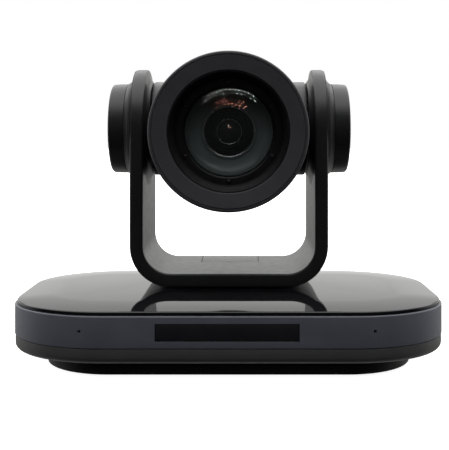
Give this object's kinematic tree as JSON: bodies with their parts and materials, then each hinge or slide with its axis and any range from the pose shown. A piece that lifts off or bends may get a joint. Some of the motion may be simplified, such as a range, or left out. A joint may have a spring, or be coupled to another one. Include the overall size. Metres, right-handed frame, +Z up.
{
  "type": "ptz camera",
  "caption": "Tabletop conference pan-tilt-zoom camera: wide low base, U-shaped yoke that pans, and round barrel head that tilts, with a zoom lens inside.",
  "frame": {"origin": "on the supporting surface, under the middle of the base's box", "axes": "+X to the viewer's right along the base's width, +Y to the back (the lens looks along -Y), +Z up"},
  "size_m": [0.246, 0.134, 0.1804],
  "materials": {
    "piano_black": "high gloss",
    "blue_grey": "satin",
    "warm_grey": "satin",
    "matte_black": "matte",
    "satin_black": "satin",
    "bezel_grey": "fine matte",
    "window": "gloss, infrared-transparent",
    "rubber": "matte",
    "steel": "plain",
    "black_screw": "blackened",
    "aluminium": "cast",
    "brass": "machined",
    "board": "solder mask",
    "acetal": "moulded",
    "glass": "anti-reflection coated"
  },
  "bodies": {
    "base": {"base_plinth": "matte_black", "base_lower_shell": "warm_grey", "base_band": "blue_grey", "base_top_cover": "piano_black", "display_window": "window", "display_board": "board", "main_board": "board", "heat_sink": "aluminium", "io_panel": "matte_black", "lan_socket": "steel", "hdmi_socket": "steel", "usb_socket": "steel", "serial_socket": "matte_black", "dc_socket": "matte_black", "base_chassis": "steel", "pan_motor": "steel", "pan_bearing": "steel", "tripod_bush": "brass", "rubber_foot_1": "rubber", "rubber_foot_2": "rubber", "rubber_foot_3": "rubber", "rubber_foot_4": "rubber", "base_screw_1": "steel", "base_screw_2": "steel", "base_screw_3": "steel", "base_screw_4": "steel"},
    "pan_pinion": {"pan_pinion": "brass"},
    "yoke": {"turntable": "matte_black", "pan_shaft": "steel", "pan_gear": "acetal", "yoke_outer_shell": "satin_black", "yoke_inner_liner": "satin_black", "yoke_bracket": "steel", "bar_cover": "satin_black", "hub_cap_left": "satin_black", "hub_cap_right": "satin_black", "tilt_bearing_left": "steel", "tilt_bearing_right": "steel", "tilt_motor": "steel"},
    "tilt_pinion": {"tilt_pinion": "brass"},
    "head": {"head_shell": "satin_black", "head_rear_cover": "satin_black", "front_bezel": "bezel_grey", "lens_recess_ring": "matte_black", "front_lens": "glass", "lens_barrel": "matte_black", "camera_block": "aluminium", "sensor_board": "board", "tilt_shaft_left": "steel", "tilt_shaft_right": "steel", "tilt_gear": "acetal", "lens_screw_1": "black_screw", "lens_screw_2": "black_screw", "lens_screw_3": "black_screw", "lens_screw_4": "black_screw", "lens_screw_5": "black_screw", "lens_screw_6": "black_screw"},
    "zoom_group": {"zoom_group": "glass"},
    "focus_group": {"focus_group": "glass"}
  },
  "joints": [
    {"name": "pan", "type": "hinge", "parent": "base", "child": "yoke", "pos_m": [0, 0.028, 0.0409], "axis": [0, 0, 1], "range_deg": [-170, 170]},
    {"name": "tilt", "type": "hinge", "parent": "yoke", "child": "head", "pos_m": [0, 0.028, 0.1359], "axis": [-1, 0, 0], "range_deg": [-30, 90]},
    {"name": "pan_pinion_spin", "type": "hinge", "parent": "base", "child": "pan_pinion", "pos_m": [-0.027, 0.028, 0.0235], "axis": [0, 0, 1], "range_deg": [-600, 600]},
    {"name": "tilt_pinion_spin", "type": "hinge", "parent": "yoke", "child": "tilt_pinion", "pos_m": [-0.0666, 0.028, 0.1545], "axis": [-1, 0, 0], "range_deg": [-380, 130]},
    {"name": "zoom", "type": "slide", "parent": "head", "child": "zoom_group", "axis": [0, 1, 0], "range_m": [0, 0.009]},
    {"name": "focus", "type": "slide", "parent": "head", "child": "focus_group", "axis": [0, 1, 0], "range_m": [-0.0012, 0.0012]}
  ],
  "couplings": [
    {"joint": "pan_pinion_spin", "follows": "pan", "ratio": -3.5},
    {"joint": "tilt_pinion_spin", "follows": "tilt", "ratio": -4.1667}
  ]
}
